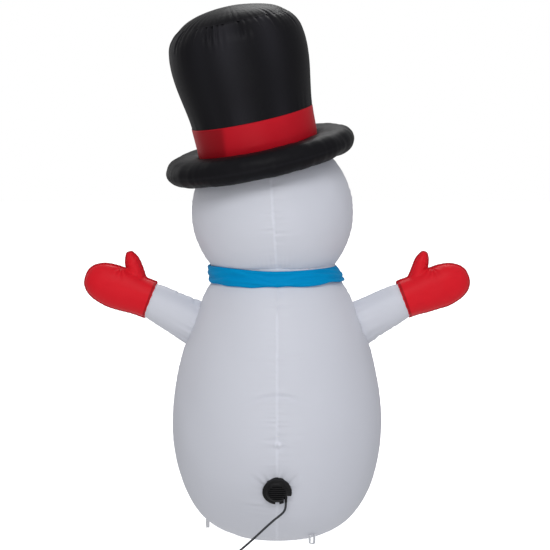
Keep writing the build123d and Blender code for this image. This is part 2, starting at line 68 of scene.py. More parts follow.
# ---- camera, floor and light
studio = {
    "eye": (0.0046, 3.6, 0.95),
    "aim": (0.0046, 0, 0.5984),
    "lens": 102.3,
    "floorSize": 30,
    "fill": 0.54,
    "skyLevels": (1.75, 0.71, 1.12),  # share of the fill from below, from the horizon and from overhead
    "floorGlow": 0.95,
    # place, size, power and tint of each softbox
    "softboxes": {
        "keyLight": ((0.1, 3.3, 3.3), (1.8, 1.4), 59, (1, 1, 1)),
        "faceLight": ((-0.3, -3.0, 3.6), (1.8, 1.4), 40, (1, 1, 1)),
        "lawnBounce": ((0.1, 2.7, 0.16), (2.6, 0.25), 12, (1, 1, 1)),
        "leftStrip": ((2.1, 2.8, 1.5), (0.6, 2.2), 4, (1, 1, 0.98)),
        "rightStrip": ((-2.9, 2.0, 1.5), (0.9, 2.2), 9, (0.86, 0.88, 1)),
        "farStrip": ((2.4, -2.6, 1.5), (0.8, 2.2), 7, (1, 1, 1)),
    },
}


def lookAt(thing, eye, aim):
    thing.location = eye
    thing.rotation_euler = (Vector(aim) - Vector(eye)).to_track_quat("-Z", "Y").to_euler()
    bpy.context.scene.collection.objects.link(thing)


def addSoftbox(name, eye, aim, size, power, tint):
    light = bpy.data.lights.new(name, "AREA")
    light.shape = "RECTANGLE"
    light.size, light.size_y = size
    light.energy = power
    light.color = tint
    lookAt(bpy.data.objects.new(name, light), eye, aim)


def setStudio():
    camera = bpy.data.objects.new("camera", bpy.data.cameras.new("camera"))
    camera.data.lens = studio["lens"]
    camera.data.sensor_width = 36
    lookAt(camera, studio["eye"], studio["aim"])
    bpy.context.scene.camera = camera
    for name, (place, size, power, tint) in studio["softboxes"].items():
        addSoftbox(name, place, (0, 0, 0.6), size, power, tint)
    world = bpy.data.worlds.new("paper")
    world.use_nodes = True
    nodes, links = world.node_tree.nodes, world.node_tree.links
    sheet = Wire(world.node_tree)
    seen = sheet.add("ShaderNodeLightPath")
    up = sheet.add("ShaderNodeSeparateXYZ", None, {0: sheet.add("ShaderNodeTexCoord")}, output=2)
    low, level, high = (share * studio["fill"] for share in studio["skyLevels"])
    above = up.math("MAXIMUM", up, 0) * (high - level)
    below = (0 - up).math("MAXIMUM", 0 - up, 0) * (low - level)
    glow = above + below + level
    strength = seen + (1 - seen) * glow  # plain white where it is seen
    links.new(strength.socket, nodes["Background"].inputs["Strength"])
    nodes["Background"].inputs["Color"].default_value = (1, 1, 1, 1)
    bpy.context.scene.world = world
    bpy.context.scene.view_settings.view_transform = "Standard"
    bm = bmesh.new()
    bmesh.ops.create_grid(bm, x_segments=4, y_segments=4, size=studio["floorSize"] / 2)
    floor = newPiece("floor", bm)
    # the floor stays white without lighting the snowman from below
    floor.visible_diffuse = floor.visible_glossy = False
    return floor


# ---- materials: arithmetic on sockets, then one finish for each cloth or plastic
class Wire:  # one socket of a material's nodes
    def __init__(self, tree, socket=None):
        self.tree = tree
        self.socket = socket

    def add(self, kind, settings=None, inputs=None, output=0):  # any node, its settings first
        node = self.tree.nodes.new(kind)
        for key, value in (settings or {}).items():
            setattr(node, key, value)
        for key, value in (inputs or {}).items():
            if isinstance(value, Wire):
                self.tree.links.new(value.socket, node.inputs[key])
            else:
                node.inputs[key].default_value = value
        return Wire(self.tree, node.outputs[output])

    def math(self, operation, first, second):
        return self.add("ShaderNodeMath", {"operation": operation}, {0: first, 1: second})

    def __add__(self, other):
        return self.math("ADD", self, other)

    def __sub__(self, other):
        return self.math("SUBTRACT", self, other)

    def __rsub__(self, other):
        return self.math("SUBTRACT", other, self)

    def __mul__(self, other):
        return self.math("MULTIPLY", self, other)

    __radd__ = __add__

    def clamped(self):
        return self.add("ShaderNodeClamp", None, {"Value": self})

    def mixed(self, low, high):  # colours low to high, by this wire
        settings = {"data_type": "RGBA"}
        return self.add("ShaderNodeMix", settings, {0: self, 6: low, 7: high}, output=2)

    def place(self):  # where each point lies, in the piece's own metres
        return self.add("ShaderNodeTexCoord", output=3)

    def painted(self, name):  # a value painted on the points
        return self.add("ShaderNodeAttribute", {"attribute_name": name}, output=2)

    def bump(self, height, relief, strength):
        inputs = {"Strength": strength, "Distance": relief, "Height": height}
        return self.add("ShaderNodeBump", None, inputs)

    def noise(self, place, scale, detail, stretch=None):
        if stretch:
            place = self.add("ShaderNodeMapping", None, {"Vector": place, "Scale": stretch})
        return self.add("ShaderNodeTexNoise", None, {"Vector": place, "Scale": scale, "Detail": detail})


finishes = {}


def newFinish(slot, colour, roughness, gloss, build, **constants):
    material = bpy.data.materials.new(slot)
    material.use_nodes = True
    shader = material.node_tree.nodes["Principled BSDF"]
    shader.inputs["Base Color"].default_value = (*colour, 1)
    shader.inputs["Roughness"].default_value = roughness
    shader.inputs["Specular IOR Level"].default_value = gloss
    for name, value in constants.items():
        shader.inputs[name.replace("_", " ")].default_value = value
    for name, wire in build(Wire(material.node_tree), (*colour, 1), roughness).items():
        material.node_tree.links.new(wire.socket, shader.inputs[name])
    finishes[slot] = material


def shade(colour, factor):
    return (*[channel * factor for channel in colour[:3]], 1)


def weave(sheet, flat, thread):  # fine plain weave on a map measured in metres
    inputs = {"Vector": flat, "Scale": 0.314 / thread}
    across = sheet.add("ShaderNodeTexWave", {"bands_direction": "X"}, inputs, output=1)
    along = sheet.add("ShaderNodeTexWave", {"bands_direction": "Y"}, inputs, output=1)
    return sheet.math("MAXIMUM", across, along)


def cloth(thread=0.0009, mottle=0.05, wrinkle=0.25, seamTint=1.10, paintedLightTint=1.0, relief=0.0004, laid=True):
    def build(sheet, colour, roughness):
        place = sheet.place()
        flat = sheet.add("ShaderNodeUVMap", {"uv_map": "cloth"}) if laid else place
        cloud = sheet.noise(place, 7, 4)
        ripple = sheet.noise(place, 38, 3, stretch=(1, 1, 2.2))
        stitched = ((sheet.painted("seam") - 0.958) * 42).clamped()
        worn = ((cloud - 0.5) * mottle * 2 + 0.5).clamped()
        tone = worn.mixed(shade(colour, 1 - mottle), shade(colour, 1 + mottle))
        # painted light: where this attribute is set, the colour is painted towards the tint, as painted highlights
        # or painted shade
        tone = sheet.painted("painted_light").mixed(tone, shade(colour, paintedLightTint))
        return {
            "Base Color": (stitched * 0.8).mixed(tone, shade(colour, seamTint)),
            "Roughness": (roughness + (cloud - 0.5) * 0.14).clamped(),
            "Normal": sheet.bump(weave(sheet, flat, thread) * 0.12 + ripple * wrinkle, relief, 0.5),
        }
    return build


def moulded(grain=900, relief=0.00015, wear=0.25):
    def build(sheet, colour, roughness):
        place = sheet.place()
        dust = sheet.noise(place, 26, 4)
        return {
            "Base Color": (dust * wear).clamped().mixed(colour, shade(colour, 2.2)),
            "Roughness": (roughness + (dust - 0.5) * 0.2).clamped(),
            "Normal": sheet.bump(sheet.noise(place, grain, 2), relief, 0.6),
        }
    return build


def brushed(sheet, colour, roughness):
    streak = sheet.noise(sheet.place(), 300, 2, stretch=(1, 1, 12))
    return {
        "Base Color": streak.mixed(shade(colour, 0.85), shade(colour, 1.1)),
        "Roughness": (roughness + (streak - 0.5) * 0.2).clamped(),
    }


def jacket(sheet, colour, roughness):
    scuff = sheet.noise(sheet.place(), 120, 4)
    return {
        "Base Color": scuff.mixed(shade(colour, 0.8), shade(colour, 1.35)),
        "Roughness": (roughness + (scuff - 0.5) * 0.25).clamped(),
        "Normal": sheet.bump(scuff, 0.0002, 0.4),
    }


def makeFinishes():  # slot, colour, roughness and gloss of each
    # painted light: the tints paint highlights on the hat's crown wall and on the body's knot, and shade on a
    # stretch of the band
    hatClothPaintedHighlights = cloth(mottle=0.12, seamTint=1.4, paintedLightTint=2.9)
    bandClothPaintedShade = cloth(mottle=0.06, seamTint=0.85, paintedLightTint=0.56)
    newFinish("white_polyester", (0.595, 0.61, 0.675), 0.5, 0.25, cloth(paintedLightTint=1.22))
    newFinish("black_polyester", (0.0072, 0.0070, 0.0086), 0.46, 0.06, hatClothPaintedHighlights)
    newFinish("red_band", (0.50, 0.008, 0.018), 0.4, 0.08, bandClothPaintedShade)
    newFinish("red_polyester", (0.66, 0.010, 0.020), 0.46, 0.10, cloth(mottle=0.07, seamTint=0.42))
    newFinish("blue_satin", (0.0, 0.25, 0.54), 0.5, 0.03, cloth(mottle=0.12, seamTint=1.3, wrinkle=0.5))
    newFinish("coal_print", (0.012, 0.012, 0.013), 0.55, 0.25, cloth(mottle=0.15, seamTint=2.0))
    newFinish("orange_polyester", (0.78, 0.19, 0.02), 0.46, 0.2, cloth(mottle=0.08, seamTint=0.8))
    webbing = cloth(thread=0.0022, mottle=0.08, relief=0.0008, laid=False)
    newFinish("webbing", (0.66, 0.67, 0.70), 0.7, 0.5, webbing)
    newFinish("black_plastic", (0.0028, 0.0028, 0.0038), 0.42, 0.22, moulded())
    newFinish("grey_plastic", (0.10, 0.10, 0.11), 0.45, 0.5, moulded())
    newFinish("filter_foam", (0.003, 0.003, 0.0035), 0.95, 0.5, moulded(grain=1600, relief=0.001))
    newFinish("steel", (0.55, 0.55, 0.57), 0.32, 0.5, brushed, Metallic=1.0)
    newFinish("bronze", (0.72, 0.50, 0.24), 0.3, 0.5, brushed, Metallic=1.0)
    newFinish("cord_jacket", (0.018, 0.020, 0.026), 0.5, 0.5, jacket)
    newFinish("tie_plastic", (0.014, 0.014, 0.016), 0.5, 0.5, moulded())
    newFinish("lamp_glass", (0.85, 0.86, 0.9), 0.35, 0.5, moulded(), Transmission_Weight=0.5)
    lawn = moulded(grain=60, relief=0.0002, wear=0.0)
    glow = {"Emission_Color": (1, 1, 1, 1), "Emission_Strength": studio["floorGlow"]}
    newFinish("floor", (0.80, 0.80, 0.81), 0.9, 0.5, lawn, **glow)
    print("finishes made")


# ---- mesh helpers
def newPiece(name, bm):
    mesh = bpy.data.meshes.new(name)
    for face in bm.faces:
        face.smooth = True
    bm.to_mesh(mesh)
    bm.free()
    piece = bpy.data.objects.new(name, mesh)
    bpy.context.scene.collection.objects.link(piece)
    return piece


def smoothLine(knots, perSpan):  # a smooth curve through (radius, height) knots, as a list of vectors
    curve = bpy.data.curves.new("outline", "CURVE")
    curve.dimensions = "3D"
    curve.resolution_u = perSpan
    spline = curve.splines.new("BEZIER")
    spline.bezier_points.add(len(knots) - 1)
    for knot, (radius, height) in zip(spline.bezier_points, knots):
        knot.co = (radius, 0, height)
        knot.handle_left_type = knot.handle_right_type = "AUTO"
    holder = bpy.data.objects.new("outline", curve)
    line = bpy.data.meshes.new_from_object(holder)
    path = [vertex.co.copy() for vertex in line.vertices]
    bpy.data.objects.remove(holder)
    bpy.data.curves.remove(curve)
    bpy.data.meshes.remove(line)
    return path


def turned(name, path, columns):  # a skin turned about the Z axis from a line in the XZ plane
    bm = bmesh.new()
    knots = [bm.verts.new(place) for place in path]
    for low, high in zip(knots, knots[1:]):
        bm.edges.new((low, high))
    geometry = bm.verts[:] + bm.edges[:]
    bmesh.ops.spin(bm, geom=geometry, axis=(0, 0, 1), angle=tau, steps=columns, use_merge=True)
    bmesh.ops.remove_doubles(bm, verts=bm.verts[:], dist=1e-6)
    bmesh.ops.recalc_face_normals(bm, faces=bm.faces[:])
    return newPiece(name, bm)


def pointsOf(piece):
    flat = np.empty(len(piece.data.vertices) * 3)
    piece.data.vertices.foreach_get("co", flat)
    return flat.reshape(-1, 3)


def normalsOf(piece):
    flat = np.empty(len(piece.data.vertices) * 3)
    piece.data.vertices.foreach_get("normal", flat)
    return flat.reshape(-1, 3)


def setPoints(piece, places):
    piece.data.vertices.foreach_set("co", np.asarray(places).ravel())
    piece.data.update()


def swell(piece, amount):  # moves each point along its normal
    setPoints(piece, pointsOf(piece) + normalsOf(piece) * np.asarray(amount)[:, None])


def paint(piece, name, values):
    attribute = piece.data.attributes.new(name, "FLOAT", "POINT")
    attribute.data.foreach_set("value", np.asarray(values, dtype=np.float32))


def paintSeam(piece, distance):  # 1 on the stitching, 0 from 100 mm away
    paint(piece, "seam", np.clip(1 - distance / 0.1, 0, 1))


def cornersOf(piece):  # the place of every face corner
    corners = np.empty(len(piece.data.loops), dtype=np.int32)
    piece.data.loops.foreach_get("vertex_index", corners)
    return pointsOf(piece)[corners]


def layMap(piece, flat):
    layer = piece.data.uv_layers.new(name="cloth")
    layer.data.foreach_set("uv", flat.ravel().astype(np.float32))


def mapCloth(piece, radius):  # flat map in metres: round the Z axis, and up
    places = cornersOf(piece)
    turn = np.arctan2(places[:, 1], places[:, 0])
    starts = np.empty(len(piece.data.polygons), dtype=np.int32)
    piece.data.polygons.foreach_get("loop_start", starts)
    low, high = np.minimum.reduceat(turn, starts), np.maximum.reduceat(turn, starts)
    wraps = np.repeat(high - low > pi, np.diff(np.append(starts, len(turn))))
    turn = np.where(wraps & (turn < 0), turn + tau, turn)
    layMap(piece, np.stack([turn * radius, places[:, 2]], axis=1))


def mapFlat(piece, axes=(0, 2), size=(1, 1)):  # flat map laid straight on, along two of the piece's axes
    layMap(piece, cornersOf(piece)[:, list(axes)] * np.array(size))


def around(piece):  # angle and radius about the Z axis, and height, of every point
    x, y, z = pointsOf(piece).T
    return np.arctan2(y, x), np.hypot(x, y), z


def turnBetween(first, second):  # difference of two angles, from -pi to pi
    return (first - second + pi) % tau - pi


def crowdColumns(piece, reach, strength):  # more columns near the gores' seams
    turn, radius, z = around(piece)
    grid = np.linspace(0, tau, 7201)
    weight = np.ones_like(grid)
    for seam in goreSeams:
        weight += strength * np.exp(-((turnBetween(grid, seam) / reach) ** 4))
    share = np.concatenate([[0], np.cumsum((weight[1:] + weight[:-1]) / 2)])
    turn = np.interp((turn % tau) / tau, share / share[-1], grid)
    setPoints(piece, np.stack([radius * np.cos(turn), radius * np.sin(turn), z], axis=1))


def drift(places, wave, seed):  # smooth random relief of about -1 to 1
    chance = Random(seed)
    total = np.zeros(len(places))
    for _ in range(14):
        aim = np.array([chance.gauss(0, 1) for _ in range(3)])
        aim *= tau / wave * chance.uniform(0.6, 1.6) / np.linalg.norm(aim)
        total += np.cos(places @ aim + chance.uniform(0, tau))
    return total / sqrt(14) / 1.4


def fold(across, along, width, reach):  # a valley with a soft lip on each side, dying away along its length
    shape = (1 - (across / width) ** 2) * np.exp(-0.5 * (across / width) ** 2)
    return -shape * np.exp(-np.abs(along / reach) ** 2.5)


def gathers(position, distance, wave, reach, seed):  # random short puckers square to a seam
    chance = Random(seed)
    total = np.zeros(len(position))
    for _ in range(7):
        length = wave * chance.uniform(0.6, 1.9)
        swing = 1 + 0.6 * np.cos(position / (length * chance.uniform(3, 7)) + chance.uniform(0, tau))
        total += swing * np.cos(tau * position / length + chance.uniform(0, tau))
    return total / 3.5 * np.exp(-distance / reach)


def seamRelief(side, up, seed, pucker=0.0008, valley=0.0016, wave=0.014, reach=0.02):
    # one sewn seam: a narrow valley, a broad one, and puckers that differ on its two sides
    distance = np.abs(side)
    narrow = -valley * 0.5 * np.exp(-((distance / 0.0035) ** 2))
    broad = -valley * np.exp(-((distance / 0.022) ** 2))
    left = gathers(up, distance, wave, reach, seed) * (side < 0)
    right = gathers(up + 0.4, distance, wave, reach, seed + 1) * (side >= 0)
    rise = np.clip(distance / 0.003, 0, 1)
    return narrow + broad + pucker * (left + right) * rise


def sewGores(turn, radius, z, seed):  # relief of the upright seams, and each point's distance from one
    amount, nearest = np.zeros(len(z)), np.full(len(z), 1.0)
    for number, seam in enumerate(goreSeams):
        side = turnBetween(turn, seam) * radius
        amount += seamRelief(side, z, seed + number * 5)
        nearest = np.minimum(nearest, np.abs(side))
    return amount, nearest


def crimp(puckers, z, back, gap):  # puckers run out from the back seam, starting a gap away from it
    amount = np.zeros(len(z))
    for height, side, reach, depth, width, slope in puckers:
        shape = fold(z - height - slope * back, back, width, reach) * np.clip(np.abs(back) / gap, 0, 1)
        if side:
            shape = shape * (np.sign(back) == side)
        amount += depth * shape
    return amount


def finishPiece(piece, slot, body, *nodes):
    piece.data.materials.clear()
    piece.data.materials.append(finishes[slot])
    if body:
        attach(piece, body)
    if nodes:
        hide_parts(*nodes)


# ---- body: four gores from the lawn to the neck, with the blower let in low on the back
body = {
    "outline": [
        (0.1130, 0.0004), (0.1549, 0.0212), (0.1879, 0.0547), (0.2112, 0.0957), (0.2275, 0.1399),
        (0.2380, 0.1859), (0.2431, 0.2328), (0.2433, 0.2800), (0.2389, 0.3270), (0.2309, 0.3735),
        (0.2202, 0.4195), (0.2071, 0.4648), (0.1907, 0.5091), (0.1705, 0.5517), (0.1460, 0.5920),
    ],
    "base": [0, 0.05, 0.09],
    "columns": 328,
    "perSpan": 14,
    "knot": (0.249, 0.0060),
    "archTop": 0.3555,
    "archDrop": 4.0,
    # height, side (-1 its left, 1 its right, 0 both), reach, depth, width and slope of each back pucker
    "puckers": [
        (0.4405, 1, 0.060, 0.0012, 0.0036, 0.03),
        (0.4300, 0, 0.040, 0.0007, 0.0034, 0.02),
        (0.419, 1, 0.030, 0.0006, 0.0032, -0.03),
        (0.405, -1, 0.026, 0.0005, 0.0030, 0.05),
        (0.486, 1, 0.018, 0.0006, 0.0030, 0.0),
        (0.468, -1, 0.016, 0.0004, 0.0030, 0.0),
        (0.3270, 0, 0.018, 0.0008, 0.0028, 0.02),
        (0.3160, 0, 0.022, 0.0010, 0.0028, -0.02),
        (0.3070, -1, 0.028, 0.0009, 0.0030, 0.04),
        (0.2980, 0, 0.026, 0.0011, 0.0030, 0.0),
        (0.2870, 1, 0.034, 0.0012, 0.0032, 0.05),
        (0.2810, -1, 0.030, 0.0010, 0.0030, -0.06),
        (0.2680, 1, 0.046, 0.0014, 0.0036, 0.02),
        (0.2610, -1, 0.036, 0.0012, 0.0034, 0.10),
        (0.2550, 1, 0.028, 0.0008, 0.0030, -0.08),
    ],
    # the same for the pulls round the blower: height, middle, reach, depth, width, slope
    "pulls": [
        (0.1035, 0.036, 0.030, 0.0024, 0.0046, 0.04),
        (0.0930, 0.030, 0.036, 0.0013, 0.0050, 0.08),
        (0.1640, 0.040, 0.014, 0.0022, 0.0060, 0.9),
        (0.1700, -0.038, 0.014, 0.0012, 0.0060, -0.9),
    ],
}
blowerAim = Vector((0, cos(radians(22)), -sin(radians(22))))
blowerMiddle = Vector((0, 0.235, 0.143))


def makeBody():
    path = [Vector((radius, 0, 0.0004)) for radius in body["base"]]
    path += smoothLine(body["outline"], body["perSpan"])
    skin = turned("bodySkin", path, body["columns"])
    crowdColumns(skin, 0.16, 3.4)
    turn, radius, z = around(skin)
    amount, nearest = sewGores(turn, radius, z, 40)
    amount *= np.clip(z / 0.03, 0, 1) * np.clip((0.600 - z) / 0.02, 0, 1)
    back = turnBetween(turn, pi / 2) * radius  # positive to the snowman's right
    behind = np.abs(turnBetween(turn, pi / 2)) < 1.2
    amount += crimp(body["puckers"], z, back, 0.003) * behind
    arch = z - body["archTop"] + body["archDrop"] * back ** 2
    amount += 0.0036 * fold(arch, back, 0.0048, 0.047) * behind
    amount += 0.0008 * np.exp(-(((arch + 0.014) / 0.008) ** 2) - (back / 0.042) ** 2) * behind
    knotHeight, knotSize = body["knot"]
    star = np.hypot(back - 0.002, z - knotHeight)
    bulge, dimple = np.exp(-((star / knotSize) ** 2)), np.exp(-((star / 0.014) ** 2))
    amount += (0.0072 * bulge - 0.0036 * dimple) * behind
    # painted highlight: a small spot in the middle of the knot is painted lighter
    paint(skin, "painted_light", np.exp(-((star / 0.0075) ** 4)) * behind)
    for reach, tilt in ((0.042, 0.16), (0.030, -0.12)):
        wing = z - knotHeight - 0.001 - tilt * np.abs(back)
        amount += 0.0016 * np.exp(-((wing / 0.0030) ** 2) - (back / reach) ** 2) * behind
    for height, middle, reach, depth, width, slope in body["pulls"]:
        line = z - height - slope * (-back - middle)
        amount += depth * fold(line, back + middle, width, reach) * behind
    # the collar is drawn in to the blower's flange, with short pleats all round it
    places = pointsOf(skin)
    offset = places - np.array(blowerMiddle)
    deep = offset @ np.array(blowerAim)
    ring = np.sqrt(np.maximum((offset ** 2).sum(axis=1) - deep ** 2, 0))
    spoke = np.arctan2(offset[:, 2], offset[:, 0])
    near = behind & (ring < 0.12)
    pleat = np.cos(spoke * 11 + 0.6) + 0.7 * np.cos(spoke * 17 + 2.1) + 0.5 * np.cos(spoke * 6)
    grip = np.exp(-np.clip(ring - 0.031, 0, 1) / 0.011)
    amount += near * (0.0010 * pleat * grip - 0.0010 * np.exp(-(((ring - 0.040) / 0.010) ** 2)))
    for side in (1, -1):  # where a sleeve is sewn on
        local = np.array(armFrame(side).inverted())
        sleeve = places @ local[:3, :3].T + local[:3, 3]
        reach = np.hypot(sleeve[:, 0], sleeve[:, 1])
        facing = np.cos(np.arctan2(sleeve[:, 1], sleeve[:, 0]) * 9 + side)
        on = sleeve[:, 2] > -0.08
        gap = np.abs(reach - arm["hole"])
        amount -= on * 0.0022 * np.exp(-((gap / 0.006) ** 2))
        amount += on * 0.0007 * facing * np.exp(-np.abs(reach - 0.056) / 0.016)
        nearest = np.where(on & (gap < 0.02), np.minimum(nearest, gap + 0.0012), nearest)
    amount += 0.0011 * drift(places, 0.16, 7) + 0.0004 * drift(places, 0.06, 8)
    hem = np.exp(-z / 0.018) * (radius > 0.1)
    amount += 0.0012 * hem * np.cos(turn * 46 + 1.5 * np.cos(turn * 5)) * np.clip(z / 0.004, 0, 1)
    swell(skin, amount * (radius > 0.1131))  # the round base stays flat
    places = pointsOf(skin)
    places[:, 2] = np.maximum(places[:, 2], 0.0004)
    setPoints(skin, places)
    paintSeam(skin, nearest + 0.004 * np.clip((z - 0.515) / 0.03, 0, 1))
    cutBlowerHole(skin)
    mapCloth(skin, 0.23)
    finishPiece(
        skin, "white_polyester", "root", "body_panel_back_left", "body_panel_back_right",
        "body_panel_front_right", "body_panel_front_left", "base_panel", "blower_collar",
    )
    print("body sewn")


def cutBlowerHole(skin):  # the cloth shows through the flange's notches, so it reaches further in there
    right = Vector((-1, 0, 0))
    up = right.cross(blowerAim)
    bm = bmesh.new()
    bm.from_mesh(skin.data)
    gone = []
    for face in bm.faces:
        middle = face.calc_center_median()
        if middle.y < 0.15 or middle.z > 0.2:
            continue
        offset = middle - blowerMiddle
        across, high = offset.dot(right), offset.dot(up)
        reach = sqrt(across ** 2 + high ** 2)
        notched = (across > 0.0135 and high < -0.0085) or (abs(across) < 0.0065 and high < -0.024)
        if reach < (0.0205 if notched else 0.0275):
            gone.append(face)
    bmesh.ops.delete(bm, geom=gone, context="FACES")
    bm.to_mesh(skin.data)
    bm.free()


# ---- neck, head and the gores' own seams
neck = {
    "low": (0.1460, 0.588),
    "high": (0.1436, 0.631),
    "shift": 0.011,
    "columns": 160,
    "rings": 18,
    "bend": ((0, 0, 0.592), (0, 0, 0.625)),
}
head = {
    "lean": 4.0,  # degrees towards the snowman's left
    "turn": 0.9,
    "low": 0.625,
    "cut": 0.1075,
    "columns": 320,
    "perSpan": 12,
    "puckers": [
        (0.0065, 0, 0.026, 0.0016, 0.0034, -0.02),
        (-0.0100, 1, 0.030, 0.0014, 0.0034, 0.03),
        (-0.0300, -1, 0.024, 0.0012, 0.0032, 0.02),
        (-0.0370, 1, 0.026, 0.0012, 0.0032, -0.03),
        (-0.0200, -1, 0.016, 0.0006, 0.0030, 0.0),
        (-0.0560, 0, 0.014, 0.0005, 0.0030, 0.0),
        (0.0300, -1, 0.014, 0.0004, 0.0030, 0.0),
    ],
}


def makeNeck():
    bm = bmesh.new()
    rings = []
    for radius, height, shift in ((*neck["low"], 0), (*neck["high"], neck["shift"])):
        place = Matrix.Translation((shift, 0, height))
        made = bmesh.ops.create_circle(bm, radius=radius, segments=neck["columns"], matrix=place)
        rings += list({edge for vert in made["verts"] for edge in vert.link_edges})
    bmesh.ops.bridge_loops(bm, edges=rings)
    ribs = [edge for edge in bm.edges if abs(edge.verts[0].co.z - edge.verts[1].co.z) > 0.01]
    bmesh.ops.subdivide_edges(bm, edges=ribs, cuts=neck["rings"], use_grid_fill=True)
    bmesh.ops.recalc_face_normals(bm, faces=bm.faces[:])
    sleeve = newPiece("neckSleeve", bm)
    turn, radius, z = around(sleeve)
    swell(sleeve, 0.0006 * gathers(turn * 0.145, np.zeros(len(z)), 0.012, 1, 91) - 0.0006)
    paintSeam(sleeve, np.abs(turnBetween(turn, pi / 2)) * 0.145)
    mapCloth(sleeve, 0.145)
    finishPiece(sleeve, "white_polyester", None, "neck_sleeve")
    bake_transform(sleeve)


def makeHead():
    lean = Matrix.Translation(headMiddle) @ Matrix.Rotation(radians(head["lean"]), 4, "Y")
    lean = lean @ Matrix.Rotation(radians(head["turn"]), 4, "Z")
    sweep = [radians(-62 + 152 * step / 14) for step in range(15)]
    knots = [(headRadius * cos(angle), headRadius * sin(angle)) for angle in sweep]
    knots[-1] = (0, headRadius)
    skin = turned("headSkin", smoothLine(knots, head["perSpan"]), head["columns"])
    crowdColumns(skin, 0.17, 3.0)
    turn, radius, z = around(skin)
    amount, nearest = sewGores(turn, radius, z, 140)
    amount *= np.clip(radius / 0.05, 0, 1)
    back = turnBetween(turn, pi / 2) * radius
    behind = np.abs(turnBetween(turn, pi / 2)) < 1.2
    amount += crimp(head["puckers"], z, back, 0.002) * behind
    places = pointsOf(skin)
    amount += 0.0010 * drift(places, 0.15, 17) + 0.0004 * drift(places, 0.06, 18)
    low = np.exp(-np.clip(z + 0.118, 0, 1) / 0.016)
    amount += 0.0011 * low * gathers(turn * 0.15, np.zeros(len(z)), 0.016, 1, 77)
    swell(skin, amount)
    paintSeam(skin, nearest)
    mapCloth(skin, headRadius)
    skin.data.transform(lean)
    bm = bmesh.new()
    bm.from_mesh(skin.data)
    cuts = (
        (headMiddle + hatLean * head["cut"], hatLean),
        (Vector((0, 0, head["low"])), Vector((0, 0, -1))),
    )
    for place, aim in cuts:
        geometry = bm.verts[:] + bm.edges[:] + bm.faces[:]
        bmesh.ops.bisect_plane(bm, geom=geometry, plane_co=place, plane_no=aim, clear_outer=True)
    bm.to_mesh(skin.data)
    bm.free()
    finishPiece(
        skin, "white_polyester", "head", "head_panel_back_left", "head_panel_back_right",
        "head_panel_front_left", "head_panel_front_right",
    )
    print("head sewn")


# ---- hat: brim of two rings, satin band, crown wall and domed top, all about the leaning axis
hat = {
    "columns": 360,
    "brimLower": [
        (0.1500, 0.1080), (0.1615, 0.1059), (0.1732, 0.1050), (0.1849, 0.1056),
        (0.1963, 0.1080), (0.2068, 0.1132), (0.2151, 0.1214), (0.2200, 0.1320),
    ],
    "brimUpper": [
        (0.2200, 0.1320), (0.2163, 0.1464), (0.2066, 0.1576), (0.1930, 0.1635),
        (0.1782, 0.1651), (0.1634, 0.1643), (0.1491, 0.1622), (0.1366, 0.1585),
    ],
    "band": [(0.1366, 0.1578), (0.1371, 0.1700), (0.1376, 0.1850), (0.1382, 0.2040), (0.1392, 0.2260)],
    "crown": [
        (0.1386, 0.2250), (0.1408, 0.2434), (0.1448, 0.2685), (0.1492, 0.2936),
        (0.1533, 0.3188), (0.1561, 0.3441), (0.1570, 0.3696), (0.1550, 0.3950),
        (0.1499, 0.4156), (0.1382, 0.4334), (0.1223, 0.4475),
    ],
    "dome": [
        (0.1223, 0.4475), (0.1040, 0.4584), (0.0841, 0.4662), (0.0635, 0.4717),
        (0.0425, 0.4753), (0.0213, 0.4776), (0.0000, 0.4790),
    ],
    # angle, depth, width and drop of the deep puckers under the top seam
    "puckers": [
        (64, 0.0030, 0.0042, 0.040), (70, 0.0036, 0.0046, 0.050), (76, 0.0034, 0.0040, 0.044),
        (81, 0.0026, 0.0050, 0.058), (98, 0.0036, 0.0044, 0.034), (104, 0.0014, 0.0040, 0.050),
        (52, 0.0016, 0.0040, 0.034), (117, 0.0014, 0.0040, 0.030), (131, 0.0018, 0.0046, 0.040),
        (30, 0.0022, 0.0042, 0.040), (12, 0.0018, 0.0040, 0.044), (158, 0.0020, 0.0044, 0.036),
        (196, 0.0026, 0.0044, 0.046), (214, 0.0020, 0.0042, 0.036), (243, 0.0026, 0.0046, 0.050),
        (262, 0.0018, 0.0040, 0.040), (287, 0.0028, 0.0046, 0.048), (318, 0.0022, 0.0042, 0.036),
    ],
    # angle, half width and strength of each painted highlight: an upright stretch of the crown wall painted
    # lighter
    "painted_light": [
        (82, 12, 0.95), (121, 11, 0.65), (58, 8, 0.3), (20, 12, 0.45), (168, 14, 0.5),
        (212, 13, 0.6), (258, 15, 0.7), (302, 12, 0.5), (338, 10, 0.4),
    ],
    "paintedShadeSpan": (20, 60),  # from and to these angles the band is painted darker, a painted shade
    "girth": 0.155,
    "upperHub": 0.136,
    "lowerHub": 0.150,
}
hatTilt = Vector((0, 0, 1)).rotation_difference(hatLean).to_matrix().to_4x4()
hatPlace = Matrix.Translation(headMiddle) @ hatTilt


def makeHat():
    makeHatRing("hatCrownWall", "crown", 16, "black_polyester", "hat_crown_wall", relieveCrown)
    makeHatRing("hatDome", "dome", 9, "black_polyester", "hat_top_panel", relieveDome)
    makeHatRing("hatBrimLower", "brimLower", 9, "black_polyester", "hat_brim_lower", relieveBrim)
    makeHatRing("hatBrimUpper", "brimUpper", 9, "black_polyester", "hat_brim_upper", relieveBrim)
    makeHatRing("hatBand", "band", 8, "red_band", "hat_band", relieveBand)
    print("hat sewn")


def makeHatRing(name, key, perSpan, slot, node, relieve):
    piece = turned(name, smoothLine(hat[key], perSpan), hat["columns"])
    turn, radius, z = around(piece)
    amount, seam = relieve(piece, turn, radius, z)
    swell(piece, amount)
    paintSeam(piece, seam)
    mapCloth(piece, 0.15)
    piece.data.transform(hatPlace)
    finishPiece(piece, slot, "head", node)


